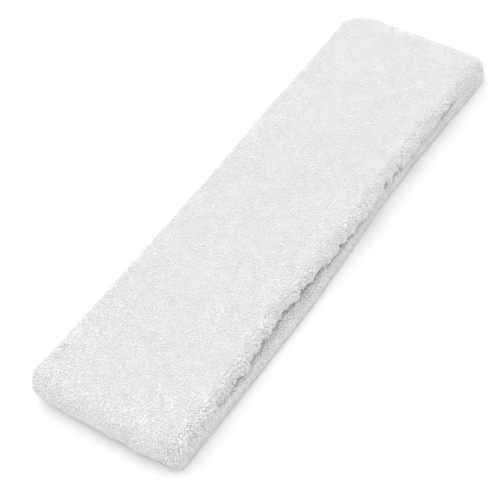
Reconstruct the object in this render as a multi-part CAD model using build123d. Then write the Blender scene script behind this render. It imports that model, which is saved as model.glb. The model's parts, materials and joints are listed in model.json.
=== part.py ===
from build123d import *
import os

# Terry-cloth sports headband lying flat. The band is endless: a lower and an upper wall lie
# on each other and are joined by a fold at each end. Each wall is one terry fabric folded
# double, with its two cut edges turned in and linked by a seam on the inner face, and with
# elastic yarns between the two plies.
#
# Frame: +X along the band, +Y across it, +Z up, origin under the middle of the object.
#
# The band opens from flat to round, so it is divided along its length into straight
# segments that hinge on the plane between the walls. Each end fold is a piece of its own.

# Driving dimensions, in millimetres.
FLAT_LENGTH = 180.0         # over both end folds
BAND_WIDTH = 52.0
WALL_THICKNESS = 6.0        # two plies of terry with their pile, and half of the slit
SLIT = 0.3                  # between the two walls
SEGMENTS_PER_WALL = 7       # an odd number, so that one segment is in the middle
JOINT_GAP = 0.3             # between neighbouring segments
EDGE_RADIUS = 2.8           # rounding of the band's long edges
CORNER_RADIUS = 6.0         # rounding of the flat band's four corners, seen from above

# Elastic yarns between the plies.
POCKET_HEIGHT = 0.9
POCKET_MARGIN = 2.8         # fabric beside the pocket, at each long edge
ELASTIC_DIAMETER = 0.84
ELASTIC_COUNT = 16

# Closing seam between the two turned-in edges, on the inner face.
SEAM_GAP = 4.0
NEEDLE_THREAD = 0.5         # diameter of the two threads that run along the seam
LOOPER_THREAD = 0.7         # diameter of the thread that crosses from edge to edge
NEEDLE_SPACING = 2.4        # between the two needle threads
STITCH_PITCH = 2.4
FOLD_STITCH_ANGLES = (45, 135)

# Derived dimensions.
MID_Z = WALL_THICKNESS      # height of the plane between the two walls
HALF_TURN = 180
SEGMENT_LENGTH = (FLAT_LENGTH - 2 * WALL_THICKNESS) / SEGMENTS_PER_WALL
FOLD_X = SEGMENT_LENGTH * SEGMENTS_PER_WALL / 2
INNER_FACE = SLIT / 2       # distances from the plane between the walls
FABRIC_HEIGHT = WALL_THICKNESS - INNER_FACE
FABRIC_MIDDLE = INNER_FACE + FABRIC_HEIGHT / 2
INNER_PLY_TOP = FABRIC_MIDDLE - POCKET_HEIGHT / 2
SEAM_MIDDLE = (INNER_FACE + INNER_PLY_TOP) / 2
POCKET_WIDTH = BAND_WIDTH - 2 * POCKET_MARGIN
ELASTIC_SPACING = (POCKET_WIDTH - POCKET_HEIGHT) / ELASTIC_COUNT

# Sections are drawn across the band, with their height measured outwards from the plane
# between the walls.


def fabric_section():
    """Rounded band with the pocket between its plies and the gap between its turned-in edges."""
    band = Pos(0, FABRIC_MIDDLE) * RectangleRounded(BAND_WIDTH, FABRIC_HEIGHT, EDGE_RADIUS)
    pocket = Pos(0, FABRIC_MIDDLE) * SlotOverall(POCKET_WIDTH, POCKET_HEIGHT)
    edge_gap = Pos(0, FABRIC_MIDDLE / 2) * Rectangle(SEAM_GAP, FABRIC_MIDDLE)
    return Plane.YZ * (band - pocket - edge_gap)


def elastic_section():
    """One row of round yarns across the pocket."""
    places = GridLocations(ELASTIC_SPACING, 0, ELASTIC_COUNT, 1)
    yarns = [Pos(0, FABRIC_MIDDLE) * place * Circle(ELASTIC_DIAMETER / 2) for place in places]
    return [Plane.YZ * yarn for yarn in yarns]


def needle_section():
    """The two threads that run along the seam."""
    places = GridLocations(NEEDLE_SPACING, 0, 2, 1)
    return [Plane.YZ * (Pos(0, SEAM_MIDDLE) * place * Circle(NEEDLE_THREAD / 2)) for place in places]


def looper_stitch():
    """One crossing thread from edge to edge of the seam gap."""
    return Pos(0, 0, SEAM_MIDDLE) * Rot(90, 0, 0) * Cylinder(LOOPER_THREAD / 2, SEAM_GAP)


def straight_pieces(length):
    """Fabric, elastic and seam of a straight upper-wall segment that starts at X = 0."""
    fabric = extrude(fabric_section(), length)
    elastic = Compound([extrude(yarn, length) for yarn in elastic_section()])
    stitch_count = int(length / STITCH_PITCH)
    stitches = [
        Pos((number + 0.5) * length / stitch_count, 0, 0) * looper_stitch()
        for number in range(stitch_count)
    ]
    needles = [extrude(thread, length) for thread in needle_section()]
    seam = Part() + needles + stitches
    return {"terry": fabric, "elastic": elastic, "seam": seam}


def fold_pieces():
    """Fabric, elastic and seam of the fold at the +X end, round an axis at X = 0."""
    corners = Pos(FOLD_X * -1, 0, 0) * extrude(
        RectangleRounded(FLAT_LENGTH, BAND_WIDTH, CORNER_RADIUS), WALL_THICKNESS, both=True
    )
    fabric = revolve(fabric_section(), Axis.Y, HALF_TURN) & corners
    elastic = Compound([revolve(yarn, Axis.Y, HALF_TURN) for yarn in elastic_section()])
    stitches = [Rot(0, angle, 0) * looper_stitch() for angle in FOLD_STITCH_ANGLES]
    seam = Part() + [revolve(thread, Axis.Y, HALF_TURN) for thread in needle_section()] + stitches
    return {"terry": fabric, "elastic": elastic, "seam": seam}


def save(pieces, name, upper=True, right=True):
    """Write the pieces, mirrored to the lower wall or to the -X side where that is asked for."""
    for kind, shape in pieces.items():
        placed = shape if upper else mirror(shape, about=Plane.XY)
        placed = placed if right else mirror(placed, about=Plane.YZ)
        export_step(Pos(0, 0, MID_Z) * placed, f"parts/{kind}_{name}.step")


def shifted(pieces, x):
    """The same pieces, moved along the band."""
    return {kind: Pos(x, 0, 0) * shape for kind, shape in pieces.items()}


def build():
    """Write every segment of both walls, and the two end folds."""
    os.makedirs("parts", exist_ok=True)
    clear_length = SEGMENT_LENGTH - JOINT_GAP
    whole = straight_pieces(clear_length)
    last_lower = straight_pieces(SEGMENT_LENGTH - JOINT_GAP / 2)
    half = straight_pieces(SEGMENT_LENGTH / 2 - JOINT_GAP)
    start = JOINT_GAP / 2

    save(shifted(whole, start - SEGMENT_LENGTH / 2), "lower_middle", upper=False)
    segments_per_side = SEGMENTS_PER_WALL // 2
    fold = shifted(fold_pieces(), FOLD_X)
    for side, right in (("right", True), ("left", False)):
        for number in range(1, segments_per_side + 1):
            x = (number - 0.5) * SEGMENT_LENGTH + start
            lower = last_lower if number == segments_per_side else whole
            save(shifted(lower, x), f"lower_{side}_{number}", upper=False, right=right)
            save(shifted(whole, x), f"upper_{side}_{number}", right=right)
        save(shifted(half, start), f"upper_middle_{side}", right=right)
        save(fold, f"fold_{side}", right=right)


build()
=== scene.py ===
import json
import math

import bpy
import numpy as np
from mathutils import Matrix, Vector


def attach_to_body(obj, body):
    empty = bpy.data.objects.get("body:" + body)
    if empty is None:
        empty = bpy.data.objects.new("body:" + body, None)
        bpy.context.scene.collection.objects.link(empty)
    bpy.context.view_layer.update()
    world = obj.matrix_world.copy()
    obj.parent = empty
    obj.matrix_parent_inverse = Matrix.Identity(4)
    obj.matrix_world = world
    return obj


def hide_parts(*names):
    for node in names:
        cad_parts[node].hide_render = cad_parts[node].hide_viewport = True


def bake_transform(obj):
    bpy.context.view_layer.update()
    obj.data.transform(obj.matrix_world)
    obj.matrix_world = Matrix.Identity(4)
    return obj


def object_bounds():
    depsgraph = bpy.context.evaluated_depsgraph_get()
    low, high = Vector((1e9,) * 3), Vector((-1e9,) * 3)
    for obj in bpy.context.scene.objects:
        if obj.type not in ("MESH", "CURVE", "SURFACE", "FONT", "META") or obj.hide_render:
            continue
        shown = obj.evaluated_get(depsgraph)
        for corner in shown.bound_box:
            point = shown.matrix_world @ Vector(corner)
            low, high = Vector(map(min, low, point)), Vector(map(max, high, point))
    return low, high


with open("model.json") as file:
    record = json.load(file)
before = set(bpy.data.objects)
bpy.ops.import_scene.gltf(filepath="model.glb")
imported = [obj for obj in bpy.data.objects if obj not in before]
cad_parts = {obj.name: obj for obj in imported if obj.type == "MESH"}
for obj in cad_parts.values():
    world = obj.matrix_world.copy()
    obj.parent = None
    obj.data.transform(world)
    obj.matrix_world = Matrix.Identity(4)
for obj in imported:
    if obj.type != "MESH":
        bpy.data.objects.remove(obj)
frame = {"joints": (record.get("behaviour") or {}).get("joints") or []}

CAD_LOW, CAD_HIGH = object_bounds()

# A terry sports headband, lying flat. The fabric is worked out in millimetres in the band's own
# terms (place along the band, place round its doubled section, height of pile) and only turned
# into metres when a mesh is made.
MM = 0.001
JOINTS = {joint["name"]: joint for joint in frame["joints"]}
PITCH = 2 * JOINTS["bend_lower_right_1"]["pos_m"][0] / MM    # from one hinge to the next
FOLD_X = JOINTS["unfold_right"]["pos_m"][0] / MM
MID_Z = JOINTS["unfold_right"]["pos_m"][2] / MM             # the plane between the two walls
HALF_WIDTH = CAD_HIGH.y / MM
HALF_LENGTH = CAD_HIGH.x / MM
LAST_SEGMENT = round(FOLD_X / PITCH - 0.5)
SIDES = {"right": 1, "left": -1}

# The doubled fabric's section, measured out from the plane between the two walls.
PILE_OUT = 0.65             # the pile's height over the knitted ground, on the outer face
PILE_IN = 0.6               # on the inner face, where it is pressed
PILE_EDGE = 0.8             # and past the long edges
PILE_GROOVE = 0.55          # how much taller it stands where the walls' edges meet
GROOVE_DEPTH = 3.0          # which begins this far before the ground turns
GROUND_LOW = 1.15           # the knitted ground's inner face
GROUND_HIGH = MID_Z - PILE_OUT
GROUND_MID = (GROUND_LOW + GROUND_HIGH) / 2
GROUND_HALF = (GROUND_HIGH - GROUND_LOW) / 2
GROUND_REACH = HALF_WIDTH - PILE_EDGE
FLAT_HALF = GROUND_REACH - GROUND_HALF
ROUND_SIZE = 4 * FLAT_HALF + 2 * math.pi * GROUND_HALF
FOLD_OUTER = math.pi * MID_Z * 0.85    # the way round a fold's outside, to space its loops by
SECTION_END = 1 - 1e-9      # the way round the section ends just short of where it starts

# How square the long edges are, as powers of a superellipse: 2 would be round.
EDGE_POWER = 1.6            # the least
EDGE_OUTSIDE = 0.6          # more on the outer face
EDGE_LIP = 0.35             # but less there on the upper wall's -Y side
EDGE_BETWEEN = 0.9          # more between the walls
EDGE_SQUARE = 5             # and this much more where the edge is square
END_SQUARE = 0.9            # how square the -Y corners are, as a share of that

# The knitted ground's mesh, and the ridge along the middle of its inner face.
GROUND_ROW = 1.5
GROUND_COLUMN = 1.4
RIDGE_HEIGHT = 0.45
RIDGE_HALF = 1.7

# Terry loops.
LOOP_SEED = 7
LOOP_SPACING = 0.54         # from one loop to the next
LOOP_JITTER = 0.42          # how far a loop may stand off its place, as a share of that
LOOP_ROUND = ROUND_SIZE + 2    # the way round the section, to space the loops by
LOOP_RADIUS = 0.19          # the yarn's
LOOP_FOOT = 0.2             # between a loop's two feet
LOOP_ROOT = 0.1             # how deep they stand in the ground
LOOP_POINTS = 6             # along a loop
LOOP_SIDES = 4              # round its yarn
LEAN_SHARED = 0.25          # how far a loop leans with its neighbours
LEAN_OWN = 0.17             # and on its own
INNER_SHARE = 0.6           # of the inner face's loops that are kept
TUFT_EDGE = 1.25            # how far the loops hang over at the upper wall's -Y edge
TUFT_END = 0.75             # and at the near end's fold
SEAM_CLEAR = 2.0            # no pile this near the middle of the inner face

# Elastic yarns and seam threads.
ELASTIC_YARNS = 16
ELASTIC_RADIUS = 0.42
ELASTIC_MARGIN = 1.0        # between the outermost yarns and the ground's turn
NEEDLE_RADIUS = 0.17
NEEDLE_GAUGE = 0.95         # each needle thread's distance from the seam's middle
NEEDLE_REACH = 0.55         # and from the plane between the two walls
LOOPER_RADIUS = 0.15
LOOPER_SWING = 1.45         # how far the looper threads cross to each side
LOOPER_REACH = 0.42
STITCH = 2.2
STITCH_POINTS = 8           # along each stitch
ELASTIC_POINTS = 5          # along each yarn, in a zone
FOLD_POINTS = 9             # and in a fold
ELASTIC_SIDES = 8
THREAD_SIDES = 6

# How the band lies.
FLOOR_GAP = 0.02            # between the floor and the lowest loops
SLIT_END = 66               # the walls' -Y edges meet from here to the far end
SLIT_END_FADE = 6           # and have closed up after this much more
SLIT_START = -50            # they also meet from here to the near end
SLIT_START_FADE = 12
SHUT_REACH = 1.3            # how much nearer to each other the edges come where they meet
WAVE_START = 17             # the line between the walls wanders only further out than this
WAVE_FADE = 8
FAR_END = 0.7               # how far the far fold stands out
# Radii of the corners in plan, by the signs of X and Y.
CORNER_RADIUS = {(1, 1): 8.3, (1, -1): 4.0, (-1, 1): 1.5, (-1, -1): 4.0}
CORNER_LENGTH = 26          # of the band that a corner is drawn in over
CORNER_STEEPNESS = 0.96     # under 1, so that a corner's round never stands square to the edge

# Tones, and the patterns in the materials: their scale as Blender takes it, and height in metres.
COTTON_DARK = (0.93, 0.93, 0.93)
COTTON_LIGHT = (0.97, 0.97, 0.97)
SEAM_TONE = (0.88, 0.88, 0.87)
ELASTIC_TONE = (0.84, 0.83, 0.80)
THREAD_SHADE = 0.95         # a thread's dark tone, as a share of its own
PILE_MOTTLE = 420
KNIT_MOTTLE = 500
THREAD_MOTTLE = 900
FIBRE_SCALE = 9000
FIBRE_HEIGHT = 0.00006
KNIT_SCALE = 260
KNIT_HEIGHT = 0.0003
SEAM_TWIST = 1500
ELASTIC_TWIST = 900
TWIST_HEIGHT = 0.0001

# The camera's place and the stage, in metres and degrees.
CAMERA_AZIMUTH, CAMERA_ELEVATION, CAMERA_ROLL = -45.6, 49.7, -12.3
CAMERA_DISTANCE = 0.478
CAMERA_TARGET = (-0.0107, 0.0017, 0)
SENSOR_WIDTH = 36
LENS_RATIO = 3.024          # the focal length over the sensor's width
FLOOR_HALF = 3
FLOOR_TONE = (0.97, 0.97, 0.97)
SKY_STRENGTH = 0.70
SOFTBOX_PLACE = (0.0, 0.18, 1.2)
SOFTBOX_SIZE = 2.4
SOFTBOX_POWER = 13.8


# Smooth fields

def smoothstep(x):
    x = np.clip(x, 0, 1)
    return x * x * (3 - 2 * x)


def lattice(i, j, k, seed):
    """A repeatable random number from -1 to 1 for each lattice point."""
    h = (i * 374761393 + j * 668265263 + k * 2147483647 + seed * 1274126177) & 0xFFFFFFFF
    h = ((h ^ (h >> 13)) * 1274126177) & 0xFFFFFFFF
    h = h ^ (h >> 16)
    return (h & 0xFFFF) / 32767.5 - 1


def noise(points, size, seed):
    """Smooth noise from -1 to 1 whose lumps are about size across."""
    q = np.asarray(points, float) / size
    low = np.floor(q).astype(np.int64)
    f = q - low
    f = f * f * (3 - 2 * f)
    total = np.zeros(q.shape[:-1])
    for corner in range(8):
        bits = np.array([corner & 1, corner >> 1 & 1, corner >> 2 & 1])
        weight = np.prod(np.where(bits, f, 1 - f), axis=-1)
        at = low + bits
        total += weight * lattice(at[..., 0], at[..., 1], at[..., 2], seed)
    return total


def along_curve(x, places, values):
    """A smooth curve through a few given values."""
    x = np.clip(x, places[0], places[-1])
    i = np.clip(np.searchsorted(places, x, side="right") - 1, 0, len(places) - 2)
    places, values = np.array(places, float), np.array(values, float)
    t = (x - places[i]) / (places[i + 1] - places[i])
    return values[i] + (values[i + 1] - values[i]) * smoothstep(t)


def squared(a, b, power):
    """How far out the unit circle's point (a, b) goes on a superellipse of that power."""
    return (np.abs(a) ** power + np.abs(b) ** power) ** (-1 / power)


# The band's shape

def section(v):
    """Point and outward normal of the ground's section at v from 0 to 1, starting at the seam:
    half the inner face, the turn at +Y, the outer face, the turn at -Y, the inner face's rest."""
    u = np.asarray(v, float) * ROUND_SIZE
    half_turn = math.pi * GROUND_HALF
    ends = np.cumsum([FLAT_HALF, half_turn, 2 * FLAT_HALF, half_turn])
    stretch = [u < end for end in ends]
    first, second = ((u - start) / GROUND_HALF for start in (ends[0], ends[2]))
    ny = np.select(stretch, [0, np.sin(first), 0, -np.sin(second)], 0)
    nn = np.select(stretch, [-1, -np.cos(first), 1, np.cos(second)], -1)
    centres = [u, FLAT_HALF, FLAT_HALF - (u - ends[1]), -FLAT_HALF]
    y = np.select(stretch, centres, -FLAT_HALF + (u - ends[3])) + GROUND_HALF * ny
    return y, GROUND_HALF * nn, ny, nn


def lower_shift(x):
    """How far the lower wall lies off the upper one, along Y."""
    places = [-90, -75, -60, -40, -20, -5, 10, 25, 45, 65, 80, 90]
    shifts = [-2.5, -2.5, -2.9, -2.8, -2.8, -2.0, -1.0, -0.1, 0.0, -0.3, -0.8, -0.9]
    return along_curve(x, places, shifts)


def bulge(x):
    """How far the upper wall's -Y edge bulges out."""
    places = [-90, -72, -57, -40, -25, 0, 15, 30, 60, 75, 90]
    bulges = [2.2, 1.8, 1.0, -0.2, -0.4, 0.6, 0.5, -0.3, -0.4, 0.5, 0.5]
    return along_curve(x, places, bulges)


def slit_wave(points):
    """How far the line between the two walls wanders up and down along the edges."""
    x, y, z = points[:, 0], points[:, 1], points[:, 2]
    along = np.stack([x, 0 * x, 0 * x], axis=-1)
    between = np.clip(1 - ((z - MID_Z) / MID_Z) ** 2, 0, 1)
    wave = 0.4 * noise(along, 11, 41) + 0.5 * noise(along, 3.5, 42) + 0.5 * noise(along, 1.7, 43)
    return wave * smoothstep((np.abs(y) - WAVE_START) / WAVE_FADE) * between


def other_edge(x):
    """How far the +Y edge lies off the straight."""
    places = [-90, -68, -55, -28, 20, 42, 60, 72, 90]
    shifts = [1.0, 0.2, 0.0, -0.4, -0.5, 0, -0.1, -0.2, 0.5]
    return along_curve(x, places, shifts)


def end_shift(x, y):
    """How far the folds at the two ends stand off the straight, along X."""
    near = along_curve(y, [-27, -22.5, -18, -13, -2, 15, 25], [1.9, 1.5, 0.4, 0.7, 0.1, 0.0, 0.0])
    far = along_curve(y, [-25, -20, 0, 8, 17, 25], [-0.5, -0.1, 0, 0.5, 0.4, 0])
    return FAR_END * (x > 0) + np.where(x < 0, near, far)


def edge_power(x, upper, side, outer, shut):
    """How square the long edges are: round above, and squarer on the floor, between the walls
    and at the -Y corners."""
    corner = smoothstep((np.abs(x) - HALF_LENGTH + 14) / 10) * (side < 0)
    squarer = np.maximum(corner * (END_SQUARE - 0.6 * upper), shut * (1 - 0.7 * outer))
    squarer = np.maximum(squarer, (1 - upper) * outer)
    outside = (EDGE_OUTSIDE - EDGE_LIP * upper * (side < 0)) * outer
    inside = (1 - outer) * (EDGE_BETWEEN + 0.5 * upper)
    return EDGE_POWER + outside + inside + EDGE_SQUARE * squarer


def unevenness(p, ny, nn, upper, shut):
    """How far soft swells move the outer face out, and lumps the upper wall's -Y edge."""
    face = smoothstep((nn + 1.2) / 1.4)
    lip = upper * smoothstep(-ny / 0.7) * smoothstep((p[..., 2] - MID_Z) / 1.5)
    swell = 0.25 * noise(p, 19, 1) + 0.15 * noise(p, 8, 2) * (1 - np.maximum(ny, 0))
    lumps = 0.45 * noise(p, 8, 3) + 0.6 * noise(p, 3.4, 4) + 0.4 * noise(p, 1.9, 5)
    return (swell + lip * (1 - shut) * lumps) * face


def draw_in_corners(p, y, upper, side, share):
    """Moves the corners of the folds in along X. On the lower wall the -Y corners are tighter and
    the near end's +Y corner is wider."""
    for (sx, sy), radius in CORNER_RADIUS.items():
        if sy < 0:
            radius = radius * (0.3 + 0.7 * upper)
        elif sx < 0:
            radius = radius * (2.7 - 2.0 * upper)
        inset = np.clip((np.abs(y) - (GROUND_REACH - radius)) / radius, 0, 1)
        drawn = radius * (1 - np.sqrt(1 - CORNER_STEEPNESS * inset**2))
        start = HALF_LENGTH - CORNER_LENGTH
        ramp = smoothstep((np.abs(p[..., 0]) - start) / CORNER_LENGTH) * share
        mine = (np.sign(p[..., 0]) == sx) & (side == sy)
        p[..., 0] -= np.where(mine, sx * drawn * ramp, 0)


def drape(x, phi, v, height):
    """Points on the band in millimetres. x is the section's place and phi its turn about Y there,
    90 degrees on the upper wall and -90 on the lower one; height is above the knitted ground."""
    y, n, ny, nn = section(v)
    side = np.where(y < 0, -1, 1)
    upper = (1 + np.sin(phi)) / 2
    outer = smoothstep(nn / 0.5 + 0.5)
    shut = smoothstep((x - SLIT_END) / SLIT_END_FADE)
    shut = (shut + smoothstep((SLIT_START - x) / SLIT_START_FADE)) * (side < 0)

    # A fold turns in a half circle, squarer below and squarest at the far end's -Y corner.
    fold_power = 2.5 + 2.5 * smoothstep((-y - 10) / 14) * (x > 0)
    turn = squared(np.cos(phi), np.sin(phi), np.where(phi < 0, fold_power, 2))
    out_x, out_z = turn * np.cos(phi) * np.where(x >= 0, 1, -1), turn * np.sin(phi)
    closing = SHUT_REACH * shut * np.maximum(-ny, 0) * (1 - outer)
    reach = GROUND_MID + n + height * nn - closing
    p = np.stack([x + reach * out_x, y + height * ny, MID_Z + reach * out_z], axis=-1)
    normal = np.stack([nn * out_x, ny, nn * out_z], axis=-1)

    square = squared(ny, nn, edge_power(p[..., 0], upper, side, outer, shut))
    p = p + normal * ((GROUND_HALF + height) * (square - 1))[..., None]
    p = p + normal * unevenness(p, ny, nn, upper, shut)[..., None]

    # The walls don't lie exactly on each other, and the ends aren't straight.
    across = smoothstep(np.abs(y) / GROUND_REACH)
    p[..., 1] += (1 - upper) * lower_shift(x) - upper * (side < 0) * across * bulge(x)
    p[..., 1] += (side > 0) * across * other_edge(x)
    share = np.clip(reach / MID_Z, 0, 1)
    at_fold = smoothstep((np.abs(p[..., 0]) - FOLD_X + 3) / 9) * share
    p[..., 0] += at_fold * end_shift(p[..., 0], p[..., 1])
    draw_in_corners(p, y, upper, side, share)
    return p, normal


# Zones: one for each hinge between two segments, two half segments and one fold at each end.

def zones():
    """Each zone's name, the bodies it lies on, the CAD segments it stands for, and where it starts
    and ends: x along the band and the turn phi."""
    found = []
    for side, sign in SIDES.items():
        for wall, phi in (("lower", -math.pi / 2), ("upper", math.pi / 2)):
            near = "lower_middle" if wall == "lower" else f"upper_middle_{side}"
            for number in range(1, LAST_SEGMENT + 1):
                far = f"{wall}_{side}_{number}"
                found.append({
                    "name": far, "bodies": (near, far), "segments": (near, far), "phi": (phi, phi),
                    "x": (sign * (number - 1) * PITCH, sign * number * PITCH),
                })
                near = far
            found.append({
                "name": f"{wall}_{side}_end", "bodies": (near,), "segments": (near,),
                "phi": (phi, phi), "x": (sign * LAST_SEGMENT * PITCH, sign * FOLD_X),
            })
        found.append({
            "name": f"fold_{side}", "segments": (f"fold_{side}",),
            "bodies": (f"lower_{side}_{LAST_SEGMENT}", f"upper_{side}_{LAST_SEGMENT}"),
            "phi": (-math.pi / 2, math.pi / 2), "x": (sign * FOLD_X, sign * FOLD_X),
        })
    return found


def stations(zone, t):
    """x and phi at t from 0 to 1 through a zone."""
    t = np.asarray(t, float)
    x = zone["x"][0] + (zone["x"][1] - zone["x"][0]) * t
    phi = zone["phi"][0] + (zone["phi"][1] - zone["phi"][0]) * t
    return x, phi


def is_fold(zone):
    return zone["name"].startswith("fold")


def zone_length(zone):
    """Length through a zone, along the outer face."""
    if is_fold(zone):
        return FOLD_OUTER
    return abs(zone["x"][1] - zone["x"][0])


# Meshes

def make_mesh(name, points, quads):
    """A smooth mesh object, standing on the floor, from points in millimetres and four-sided faces."""
    mesh = bpy.data.meshes.new(name)
    points = np.asarray(points, np.float64).reshape(-1, 3)
    points[:, 2] = np.maximum(points[:, 2] + slit_wave(points), FLOOR_GAP)
    quads = np.asarray(quads, np.int32).reshape(-1, 4)
    mesh.vertices.add(len(points))
    mesh.vertices.foreach_set("co", (points * MM).astype(np.float32).ravel())
    mesh.loops.add(quads.size)
    mesh.loops.foreach_set("vertex_index", quads.ravel())
    mesh.polygons.add(len(quads))
    mesh.polygons.foreach_set("loop_start", np.arange(0, quads.size, 4, dtype=np.int32))
    mesh.polygons.foreach_set("use_smooth", np.full(len(quads), True))
    mesh.update(calc_edges=True)
    mesh.validate()
    piece = bpy.data.objects.new(name, mesh)
    bpy.context.scene.collection.objects.link(piece)
    return piece


def tubes(centres, across, radius, sides):
    """Tubes round many lines at once. centres is lines x points x 3, across one direction for
    each line that isn't along it, radius one number for each line."""
    lines, count = centres.shape[:2]
    along = np.gradient(centres, axis=1)
    along /= np.linalg.norm(along, axis=-1, keepdims=True) + 1e-12
    a = across[:, None, :] - (across[:, None, :] * along).sum(-1, keepdims=True) * along
    a /= np.linalg.norm(a, axis=-1, keepdims=True) + 1e-12
    b = np.cross(along, a)
    angle = (np.arange(sides) + 0.5) * 2 * math.pi / sides
    ring = np.cos(angle)[:, None] * a[:, :, None, :] + np.sin(angle)[:, None] * b[:, :, None, :]
    points = centres[:, :, None, :] + ring * radius[:, None, None, None]
    step = np.arange(lines * count * sides).reshape(lines, count, sides)
    turned = np.roll(step, -1, axis=2)
    quads = np.stack([step[:, :-1], turned[:, :-1], turned[:, 1:], step[:, 1:]], axis=-1)
    return points.reshape(-1, 3), quads.reshape(-1, 4)


def ground_mesh(zone):
    """The knitted ground: one sheet wrapped round the section, cut along the seam."""
    rows = max(4, round(zone_length(zone) / GROUND_ROW))
    columns = round(ROUND_SIZE / GROUND_COLUMN)
    t, v = np.meshgrid(np.linspace(0, 1, rows + 1), np.linspace(0, 1, columns + 1), indexing="ij")
    x, phi = stations(zone, t)
    y, _, _, nn = section(v)
    ridge = RIDGE_HEIGHT * np.clip(1 - (y / RIDGE_HALF) ** 2, 0, 1) * (nn < 0)
    points, _ = drape(x, phi, np.clip(v, 0, SECTION_END), ridge)
    index = np.arange((rows + 1) * (columns + 1)).reshape(rows + 1, columns + 1)
    quads = np.stack([index[:-1, :-1], index[1:, :-1], index[1:, 1:], index[:-1, 1:]], axis=-1)
    # The faces look outwards on both walls and on both sides of x = 0.
    if (zone["x"][0] + zone["x"][1] < 0) != (zone["phi"][0] < 0 and not is_fold(zone)):
        quads = quads[..., ::-1]
    return make_mesh(f"fabric_{zone['name']}", points, quads)


def loop_places(zone, rng):
    """Where the terry loops stand: a jittered grid over the zone's outer and inner faces."""
    rows = max(3, round(zone_length(zone) / LOOP_SPACING))
    columns = round(LOOP_ROUND / LOOP_SPACING)
    t, v = np.meshgrid((np.arange(rows) + 0.5) / rows, (np.arange(columns) + 0.5) / columns)
    t = (t + rng.uniform(-LOOP_JITTER, LOOP_JITTER, t.shape) / rows).ravel()
    v = (v + rng.uniform(-LOOP_JITTER, LOOP_JITTER, v.shape) / columns).ravel()
    t, v = np.clip(t, 0, 1), np.clip(v, 0, SECTION_END)
    y, _, _, nn = section(v)
    inner = nn < -0.5
    share = np.where(np.abs(y) > FLAT_HALF - GROOVE_DEPTH, 1, INNER_SHARE)
    keep = ~inner | ((rng.random(len(t)) < share) & (np.abs(y) > SEAM_CLEAR))
    if is_fold(zone):
        keep &= ~inner
    return t[keep], v[keep]


def tufts(base, normal):
    """Which way the loops hang, in millimetres, where they are long: along the upper wall's -Y
    edge and down the near end's fold, most of all towards the -Y corner."""
    lump = np.maximum(0.7 + 0.9 * noise(base, 3.0, 31) + 0.5 * noise(base, 1.6, 32), 0)
    edge = smoothstep((-normal[..., 1] - 0.15) / 0.6) * smoothstep((base[..., 2] - MID_Z + 0.7) / 1.2)
    edge *= 1 - smoothstep((base[..., 0] - SLIT_END + 4) / 8)
    end = smoothstep((-normal[..., 0] - 0.1) / 0.6) * smoothstep((8 - base[..., 1]) / 26)
    end *= smoothstep((base[..., 2] - 0.5) / 4)
    down = np.array([0.0, 0.0, -1.0]) + 0.2 * normal
    return down * (lump * np.maximum(TUFT_EDGE * edge, TUFT_END * end))[..., None]


def tangents(normal):
    """Directions in the fabric's plane: along the band, and round its section."""
    round_it = np.cross(normal, [1.0, 0.0, 0.0])
    small = np.linalg.norm(round_it, axis=-1, keepdims=True) < 0.3
    round_it = np.where(small, [0.0, 1.0, 0.0], round_it)
    round_it /= np.linalg.norm(round_it, axis=-1, keepdims=True)
    along = np.cross(round_it, normal)
    along /= np.linalg.norm(along, axis=-1, keepdims=True)
    return along, round_it


def loop_heights(base, y, nn, hang, rng):
    """How tall the loops stand: a little unevenly, and taller in the groove and in the tufts."""
    tall = PILE_IN + (PILE_OUT - PILE_IN) * smoothstep((nn + 1) / 1.5)
    tall = tall * rng.uniform(0.85, 1.1, len(y)) * (1 + 0.10 * noise(base, 2.6, 11))
    near_edge = smoothstep((np.abs(y) - FLAT_HALF + GROOVE_DEPTH) / 2)
    tall += PILE_GROOVE * near_edge * smoothstep((-nn - 0.4) / 0.5)
    return tall + 0.6 * np.linalg.norm(hang, axis=-1)


def loop_lean(base, seed, rng):
    """How far the loops lean one way: with their neighbours in clumps, and each a bit on its own."""
    own = rng.normal(0, 1, len(base)).clip(-1.6, 1.6)
    return LEAN_SHARED * noise(base, 2.4, seed) + LEAN_OWN * own


def hold_apart(centres, normal, zone, rng):
    """Between the walls, neither wall's pile passes the middle plane. Along the edges it may, by a
    different amount for each loop. A fold's pile isn't held."""
    at_edge = smoothstep((np.abs(normal[:, 1]) - 0.1) / 0.5)
    over = (at_edge * rng.uniform(0.3, 1.9, len(normal)))[:, None]
    if is_fold(zone):
        return
    if zone["phi"][0] > 0:
        centres[..., 2] = np.maximum(centres[..., 2], MID_Z + LOOP_RADIUS - over)
    else:
        centres[..., 2] = np.clip(centres[..., 2], LOOP_RADIUS, MID_Z - LOOP_RADIUS + 0.6 * over)


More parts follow.
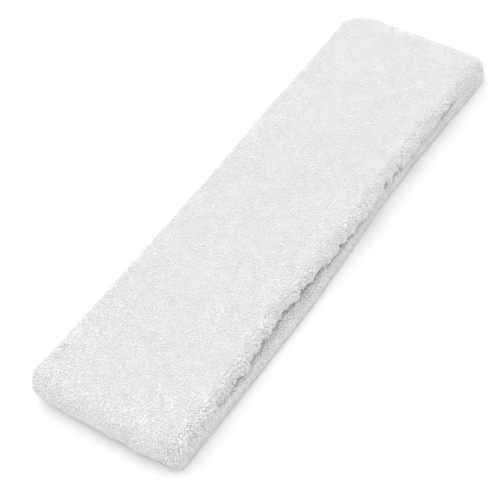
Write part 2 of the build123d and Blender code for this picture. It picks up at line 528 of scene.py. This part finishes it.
def pile_mesh(zone, rng):
    """The terry pile: an arch of yarn for every loop, leaning with its neighbours in clumps."""
    t, v = loop_places(zone, rng)
    x, phi = stations(zone, t)
    base, normal = drape(x, phi, v, np.zeros_like(t))
    y, _, _, nn = section(v)
    along, round_it = tangents(normal)
    count = len(t)

    hang = tufts(base, normal)
    tall = loop_heights(base, y, nn, hang, rng)
    turn = rng.uniform(0, 2 * math.pi, count)
    foot_line = np.cos(turn)[:, None] * along + np.sin(turn)[:, None] * round_it
    side_line = np.cross(normal, foot_line)
    lean_along, lean_round = (loop_lean(base, seed, rng)[:, None] for seed in (21, 22))
    lean = lean_along * along + lean_round * round_it + hang

    s = np.linspace(0, 1, LOOP_POINTS)
    rise = np.sin(math.pi * s) ** 0.75
    spread = (s - 0.5) * (1 + 1.0 * np.sin(math.pi * s))
    curl = np.sin(2 * math.pi * s) * 0.3
    foot = LOOP_FOOT * rng.uniform(0.75, 1.25, count)
    centres = (
        base[:, None]
        + foot_line[:, None] * (foot[:, None] * spread)[..., None]
        + side_line[:, None] * (foot[:, None] * curl)[..., None]
        + normal[:, None] * (tall[:, None] * rise - LOOP_ROOT)[..., None]
        + lean[:, None] * (rise**2)[:, None] * 0.75
    )
    hold_apart(centres, normal, zone, rng)
    radius = LOOP_RADIUS * rng.uniform(0.85, 1.15, count)
    points, quads = tubes(centres, side_line, radius, LOOP_SIDES)
    return make_mesh(f"pile_{zone['name']}", points, quads)


def thread_line(zone, t, y, reach):
    """The middle of a thread that lies reach out from the plane between the two walls."""
    x, phi = stations(zone, t)
    shift = (1 - np.sin(phi)) / 2 * lower_shift(x)
    out_x = reach * np.cos(phi) * np.where(x >= 0, 1, -1)
    return np.stack([x + out_x, y + shift, MID_Z + reach * np.sin(phi)], axis=-1)


def elastic_mesh(zone):
    """The covered elastic yarns between the two plies."""
    t = np.linspace(0, 1, FOLD_POINTS if is_fold(zone) else ELASTIC_POINTS)
    places = (np.arange(ELASTIC_YARNS) + 0.5) / ELASTIC_YARNS * 2 - 1
    rows = places * (FLAT_HALF - ELASTIC_MARGIN)
    centres = np.stack([thread_line(zone, t, y, GROUND_MID) for y in rows])
    across = np.tile([0.0, 1.0, 0.0], (ELASTIC_YARNS, 1))
    radius = np.full(ELASTIC_YARNS, ELASTIC_RADIUS)
    points, quads = tubes(centres, across, radius, ELASTIC_SIDES)
    return make_mesh(f"yarns_{zone['name']}", points, quads)


def seam_mesh(zone):
    """The linking seam on the inner face: two needle threads, and two looper threads that cross
    from one to the other."""
    stitches = max(2, round(abs(zone["x"][1] - zone["x"][0]) / STITCH))
    t = np.linspace(0, 1, stitches * STITCH_POINTS + 1)
    beat = t * stitches * 2 * math.pi
    needle = NEEDLE_REACH - 0.10 * np.cos(beat)
    looper = LOOPER_REACH - 0.16 * np.abs(np.cos(beat))
    lines = [
        (-NEEDLE_GAUGE, needle, NEEDLE_RADIUS),
        (NEEDLE_GAUGE, needle, NEEDLE_RADIUS),
        (LOOPER_SWING * np.sin(beat), looper, LOOPER_RADIUS),
        (LOOPER_SWING * np.sin(beat + math.pi), looper, LOOPER_RADIUS),
    ]
    centres = np.stack([thread_line(zone, t, y, reach) for y, reach, _ in lines])
    across = np.tile([0.0, 0.0, 1.0], (len(lines), 1))
    radius = np.array([line[2] for line in lines])
    points, quads = tubes(centres, across, radius, THREAD_SIDES)
    return make_mesh(f"stitches_{zone['name']}", points, quads)


# Materials

def new_material(name, colour, roughness, sheen):
    """A plain fabric material, and its nodes, links and shader."""
    material = bpy.data.materials.new(name)
    material.use_nodes = True
    nodes, links = material.node_tree.nodes, material.node_tree.links
    shader = nodes["Principled BSDF"]
    shader.inputs["Base Color"].default_value = (*colour, 1)
    shader.inputs["Roughness"].default_value = roughness
    shader.inputs["Specular IOR Level"].default_value = 0.1
    shader.inputs["Sheen Weight"].default_value = sheen
    shader.inputs["Sheen Roughness"].default_value = 0.5
    return material, nodes, links, shader


def mottle(nodes, links, shader, dark, light, scale):
    """Uneven whiteness: a noise between two tones in the base colour. Returns the node that
    gives a point's place, for the material's other patterns."""
    place = nodes.new("ShaderNodeTexCoord")
    cloud = nodes.new("ShaderNodeTexNoise")
    cloud.inputs["Scale"].default_value = scale
    cloud.inputs["Detail"].default_value = 3
    ramp = nodes.new("ShaderNodeValToRGB")
    ramp.color_ramp.elements[0].position = 0.3
    ramp.color_ramp.elements[1].position = 0.7
    ramp.color_ramp.elements[0].color = (*dark, 1)
    ramp.color_ramp.elements[1].color = (*light, 1)
    links.new(place.outputs["Object"], cloud.inputs["Vector"])
    links.new(cloud.outputs["Fac"], ramp.inputs["Fac"])
    links.new(ramp.outputs["Color"], shader.inputs["Base Color"])
    return place


def bumps(nodes, links, shader, height, strength, distance):
    """Feeds a height into the shader's normal."""
    bump = nodes.new("ShaderNodeBump")
    bump.inputs["Strength"].default_value = strength
    bump.inputs["Distance"].default_value = distance
    links.new(height, bump.inputs["Height"])
    links.new(bump.outputs["Normal"], shader.inputs["Normal"])


def pile_material():
    """Soft cotton loop yarn: fibres of a fraction of a millimetre and uneven whiteness."""
    material, nodes, links, shader = new_material("cotton_pile", COTTON_LIGHT, 0.95, 0.25)
    place = mottle(nodes, links, shader, COTTON_DARK, COTTON_LIGHT, PILE_MOTTLE)
    fibre = nodes.new("ShaderNodeTexNoise")
    fibre.inputs["Scale"].default_value = FIBRE_SCALE
    fibre.inputs["Detail"].default_value = 2
    links.new(place.outputs["Object"], fibre.inputs["Vector"])
    bumps(nodes, links, shader, fibre.outputs["Fac"], 0.5, FIBRE_HEIGHT)
    return material


def ground_material():
    """The knit under the pile: rows and columns of small stitches."""
    material, nodes, links, shader = new_material("cotton_knit", COTTON_LIGHT, 0.95, 0.2)
    place = mottle(nodes, links, shader, COTTON_DARK, COTTON_LIGHT, KNIT_MOTTLE)
    knit = nodes.new("ShaderNodeMath")
    knit.operation = "MULTIPLY"
    for socket, direction in enumerate("XY"):
        wave = nodes.new("ShaderNodeTexWave")
        wave.bands_direction = direction
        wave.inputs["Scale"].default_value = KNIT_SCALE
        wave.inputs["Distortion"].default_value = 1.5
        links.new(place.outputs["Object"], wave.inputs["Vector"])
        links.new(wave.outputs["Fac"], knit.inputs[socket])
    bumps(nodes, links, shader, knit.outputs["Value"], 0.8, KNIT_HEIGHT)
    return material


def thread_material(name, colour, scale):
    """Twisted thread: fine diagonal bands."""
    material, nodes, links, shader = new_material(name, colour, 0.7, 0.15)
    dark = [c * THREAD_SHADE for c in colour]
    place = mottle(nodes, links, shader, dark, colour, THREAD_MOTTLE)
    twist = nodes.new("ShaderNodeTexWave")
    twist.bands_direction = "DIAGONAL"
    twist.inputs["Scale"].default_value = scale
    links.new(place.outputs["Object"], twist.inputs["Vector"])
    bumps(nodes, links, shader, twist.outputs["Fac"], 0.6, TWIST_HEIGHT)
    return material


# Stage

def soft_light():
    """One large soft light that looks at the band from above and behind."""
    light = bpy.data.lights.new("softbox", "AREA")
    light.shape = "DISK"
    light.size = SOFTBOX_SIZE
    light.energy = SOFTBOX_POWER
    lamp = bpy.data.objects.new("softbox", light)
    lamp.location = SOFTBOX_PLACE
    towards = Vector((0, 0, 0)) - Vector(SOFTBOX_PLACE)
    lamp.rotation_euler = towards.to_track_quat("-Z", "Y").to_euler()
    bpy.context.scene.collection.objects.link(lamp)


def make_camera():
    """A camera at the photograph's viewing angle, turned a little about its own axis."""
    angles = (CAMERA_AZIMUTH, CAMERA_ELEVATION, CAMERA_ROLL)
    azimuth, elevation, roll = (math.radians(angle) for angle in angles)
    back = Vector((
        math.sin(azimuth) * math.cos(elevation),
        -math.cos(azimuth) * math.cos(elevation),
        math.sin(elevation),
    ))
    level = Vector((math.cos(azimuth), math.sin(azimuth), 0))
    rise = back.cross(level)
    right = math.cos(roll) * level + math.sin(roll) * rise
    up = back.cross(right)
    camera_data = bpy.data.cameras.new("camera")
    camera_data.sensor_width = SENSOR_WIDTH
    camera_data.lens = SENSOR_WIDTH * LENS_RATIO
    camera_data.clip_start, camera_data.clip_end = 0.01, 10
    camera = bpy.data.objects.new("camera", camera_data)
    turned = Matrix((right, up, back)).transposed().to_4x4()
    place = Vector(CAMERA_TARGET) + back * CAMERA_DISTANCE
    camera.matrix_world = Matrix.Translation(place) @ turned
    bpy.context.scene.collection.objects.link(camera)
    bpy.context.scene.camera = camera


def make_stage():
    """A pale floor, an even sky and one large soft light from above and behind."""
    mesh = bpy.data.meshes.new("floor")
    corners = [(x * FLOOR_HALF, y * FLOOR_HALF, 0) for x, y in ((-1, -1), (1, -1), (1, 1), (-1, 1))]
    mesh.from_pydata(corners, [], [(0, 1, 2, 3)])
    floor = bpy.data.objects.new("floor", mesh)
    bpy.context.scene.collection.objects.link(floor)
    material, _, _, _ = new_material("floor", FLOOR_TONE, 1.0, 0)
    floor.data.materials.append(material)
    world = bpy.data.worlds.new("world")
    world.use_nodes = True
    background = world.node_tree.nodes["Background"]
    background.inputs["Color"].default_value = (1, 1, 1, 1)
    background.inputs["Strength"].default_value = SKY_STRENGTH
    bpy.context.scene.world = world
    soft_light()
    bpy.context.scene.view_settings.view_transform = "Standard"


# The band

def attach(piece, zone):
    """The piece rides on the zone's one body; a piece of a zone between two bodies, or of a fold,
    keeps its place baked into its mesh and is not attached.
    """
    if len(zone["bodies"]) == 1:
        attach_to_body(piece, zone["bodies"][0])
    elif is_fold(zone):
        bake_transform(piece)
    else:
        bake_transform(piece)


def make_band():
    """Every zone's ground, pile, elastic and seam, with what each of them stands for."""
    rng = np.random.default_rng(LOOP_SEED)
    pile, ground = pile_material(), ground_material()
    thread = thread_material("seam_thread", SEAM_TONE, SEAM_TWIST)
    elastic = thread_material("elastic_yarn", ELASTIC_TONE, ELASTIC_TWIST)
    for zone in zones():
        made = [
            (ground_mesh(zone), ground, "terry", "terry"),
            (pile_mesh(zone, rng), pile, "terry", "terry"),
            (elastic_mesh(zone), elastic, "elastic", "elastic"),
            (seam_mesh(zone), thread, "thread", "seam"),
        ]
        for piece, material, slot, node in made:
            piece.data.materials.append(material)
            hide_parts(*[f"{node}_{segment}" for segment in zone["segments"]])
            attach(piece, zone)


make_camera()
make_stage()
make_band()
